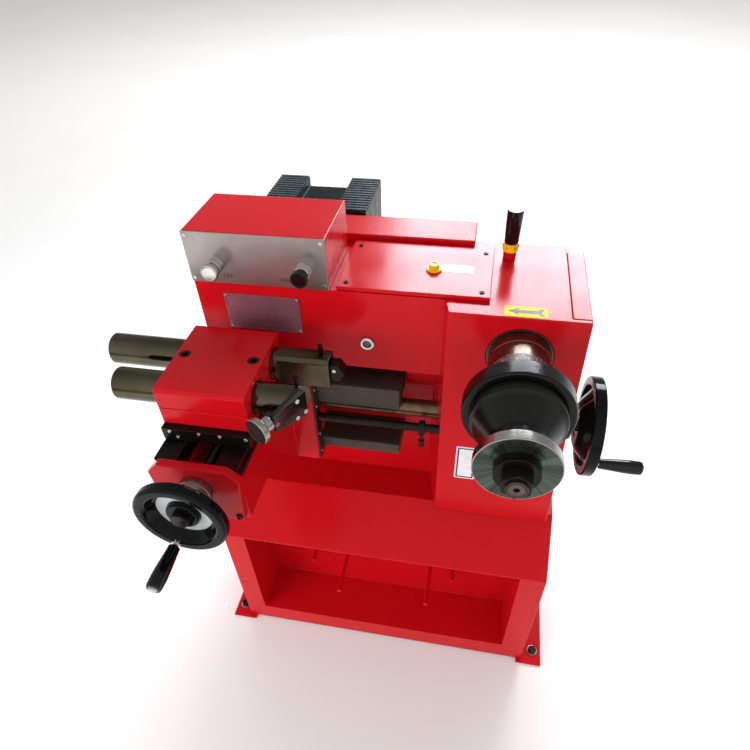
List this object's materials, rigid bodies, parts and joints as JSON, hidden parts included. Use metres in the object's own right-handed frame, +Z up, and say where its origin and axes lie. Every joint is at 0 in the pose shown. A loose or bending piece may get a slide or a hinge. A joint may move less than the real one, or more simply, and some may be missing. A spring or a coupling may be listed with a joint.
{
  "type": "brake lathe",
  "caption": "Brake disc and drum lathe: cast body on a sheet-metal base, front spindle with drum cones, cross slide with two tool bars, and feed handwheels.",
  "frame": {"origin": "bottom centre of the bounding box, on the floor under the foot plates", "axes": "+Z up, +X from the tool bars towards the feed handwheel, +Y to the rear; the spindle points to the user along -Y"},
  "size_m": [0.7886, 0.776, 0.8849],
  "materials": {
    "red_enamel": "glossy enamel over cast iron and sheet steel",
    "black_oxide": "blackened and oiled",
    "black_enamel": "glossy black enamel",
    "black_plastic": "moulded, glossy",
    "polished_steel": "polished and lightly oiled",
    "ground_iron": "ground and oiled",
    "brushed_aluminium": "brushed",
    "chrome": "polished",
    "cast_steel": "machined",
    "rubber": "matte",
    "yellow_plastic": "moulded",
    "bronze": "bright steel with a film of amber oil"
  },
  "bodies": {
    "frame": {"base_cabinet": "red_enamel", "foot_plate_left": "red_enamel", "foot_plate_right": "red_enamel", "machine_body": "red_enamel", "gear_cover": "red_enamel", "top_cover": "red_enamel", "shift_collar": "yellow_plastic", "control_box": "red_enamel", "control_panel": "brushed_aluminium", "off_button_bezel": "chrome", "on_button_bezel": "chrome", "name_plate": "brushed_aluminium", "sight_glass": "chrome", "belt_cover": "red_enamel", "drive_belt": "rubber", "motor_housing": "black_enamel", "fan_cover": "black_enamel", "front_bearing": "cast_steel", "rear_bearing": "cast_steel", "upper_way": "ground_iron", "lower_way": "ground_iron", "trip_rod": "black_oxide", "feed_hub": "black_enamel"},
    "filler_plug": {"filler_plug": "yellow_plastic"},
    "shift_lever": {"shift_lever": "black_plastic"},
    "off_button": {"off_button": "chrome"},
    "on_button": {"on_button": "black_plastic"},
    "motor_rotor": {"motor_pulley": "cast_steel"},
    "input_shaft": {"input_pulley": "cast_steel"},
    "countershaft": {"countershaft": "cast_steel"},
    "spindle": {"spindle": "polished_steel", "spindle_gear": "cast_steel", "centring_bell": "black_enamel", "clamp_cone": "polished_steel", "clamp_collar": "black_oxide"},
    "spindle_nut": {"spindle_nut": "black_oxide"},
    "feed_screw": {"feed_screw": "bronze", "feed_handwheel": "black_enamel"},
    "feed_crank_grip": {"feed_crank_grip": "black_plastic"},
    "stop_collar": {"stop_collar": "black_oxide"},
    "carriage": {"carriage": "red_enamel", "carriage_wiper": "rubber", "dovetail_left": "black_oxide", "dovetail_right": "black_oxide", "end_bracket": "red_enamel"},
    "cross_screw": {"cross_screw": "polished_steel", "dial": "brushed_aluminium", "cross_handwheel": "black_enamel"},
    "cross_crank_grip": {"cross_crank_grip": "black_plastic"},
    "cross_slide": {"cross_slide": "black_oxide", "slide_wiper": "black_oxide", "tool_block_lower": "red_enamel", "tool_block_upper": "red_enamel"},
    "clamp_bolt_1": {"clamp_bolt_1": "black_oxide"},
    "clamp_bolt_2": {"clamp_bolt_2": "black_oxide"},
    "front_bar": {"front_tool_bar": "polished_steel", "tool_plate": "black_oxide"},
    "rear_bar": {"rear_tool_bar": "polished_steel", "rear_cutter": "black_oxide"},
    "tool_knob": {"tool_knob": "brushed_aluminium"}
  },
  "joints": [
    {"name": "filler_plug_turn", "type": "hinge", "parent": "frame", "child": "filler_plug", "pos_m": [0.05675, 0.05665, 0.8164], "axis": [0, 0, 1], "range_deg": [0, 1080]},
    {"name": "shift_lever_lift", "type": "slide", "parent": "frame", "child": "shift_lever", "axis": [0, 0, 1], "range_m": [0, 0.02]},
    {"name": "off_button_press", "type": "slide", "parent": "frame", "child": "off_button", "axis": [0, 1, 0], "range_m": [0, 0.004], "stiffness_N_per_m": 300, "springref_m": -0.002},
    {"name": "on_button_press", "type": "slide", "parent": "frame", "child": "on_button", "axis": [0, 1, 0], "range_m": [0, 0.004], "stiffness_N_per_m": 300, "springref_m": -0.002},
    {"name": "spindle_spin", "type": "hinge", "parent": "frame", "child": "spindle", "pos_m": [0.18775, -0.05385, 0.7456], "axis": [0, 1, 0], "continuous": true},
    {"name": "countershaft_spin", "type": "hinge", "parent": "frame", "child": "countershaft", "pos_m": [0.1157, 0.06115, 0.7309], "axis": [0, 1, 0], "continuous": true},
    {"name": "input_spin", "type": "hinge", "parent": "frame", "child": "input_shaft", "pos_m": [0.05554, 0.0944, 0.72485], "axis": [0, 1, 0], "continuous": true},
    {"name": "motor_spin", "type": "hinge", "parent": "frame", "child": "motor_rotor", "pos_m": [-0.16425, 0.22415, 0.7016], "axis": [0, 1, 0], "continuous": true},
    {"name": "spindle_nut_turn", "type": "hinge", "parent": "spindle", "child": "spindle_nut", "pos_m": [0.18775, -0.2643, 0.7456], "axis": [0, 1, 0], "continuous": true},
    {"name": "feed_screw_turn", "type": "hinge", "parent": "frame", "child": "feed_screw", "pos_m": [0.02125, 0.00465, 0.5906], "axis": [1, 0, 0], "range_deg": [0, 9360]},
    {"name": "feed_grip_spin", "type": "hinge", "parent": "feed_screw", "child": "feed_crank_grip", "pos_m": [0.35175, -0.05966, 0.57575], "axis": [1, 0, 0], "continuous": true},
    {"name": "carriage_slide", "type": "slide", "parent": "frame", "child": "carriage", "axis": [1, 0, 0], "range_m": [0, 0.13]},
    {"name": "stop_collar_slide", "type": "slide", "parent": "frame", "child": "stop_collar", "axis": [1, 0, 0], "range_m": [-0.03, 0.012]},
    {"name": "cross_screw_turn", "type": "hinge", "parent": "carriage", "child": "cross_screw", "pos_m": [-0.21425, -0.18665, 0.6506], "axis": [0, 1, 0], "range_deg": [-3240, 1980]},
    {"name": "cross_grip_spin", "type": "hinge", "parent": "cross_screw", "child": "cross_crank_grip", "pos_m": [-0.23085, -0.34395, 0.60238], "axis": [0, 1, 0], "continuous": true},
    {"name": "cross_slide_travel", "type": "slide", "parent": "carriage", "child": "cross_slide", "axis": [0, 1, 0], "range_m": [-0.036, 0.022]},
    {"name": "clamp_bolt_1_turn", "type": "hinge", "parent": "cross_slide", "child": "clamp_bolt_1", "pos_m": [-0.26025, -0.12285, 0.736], "axis": [0, 0, 1], "range_deg": [0, 360]},
    {"name": "clamp_bolt_2_turn", "type": "hinge", "parent": "cross_slide", "child": "clamp_bolt_2", "pos_m": [-0.16255, -0.12285, 0.736], "axis": [0, 0, 1], "range_deg": [0, 360]},
    {"name": "front_bar_slide", "type": "slide", "parent": "cross_slide", "child": "front_bar", "axis": [1, 0, 0], "range_m": [-0.006, 0.03]},
    {"name": "rear_bar_slide", "type": "slide", "parent": "cross_slide", "child": "rear_bar", "axis": [1, 0, 0], "range_m": [-0.006, 0.03]},
    {"name": "tool_knob_turn", "type": "hinge", "parent": "front_bar", "child": "tool_knob", "pos_m": [-0.12348, -0.21005, 0.7316], "axis": [0.4695, 0.8829, 0], "range_deg": [-180, 180]}
  ],
  "couplings": [
    {"joint": "countershaft_spin", "follows": "spindle_spin", "ratio": -1.7037},
    {"joint": "input_spin", "follows": "spindle_spin", "ratio": 5.1111},
    {"joint": "motor_spin", "follows": "spindle_spin", "ratio": 11.5},
    {"joint": "carriage_slide", "follows": "feed_screw_turn", "m_per_rad": 0.00079577},
    {"joint": "cross_slide_travel", "follows": "cross_screw_turn", "m_per_rad": 0.00063662}
  ]
}
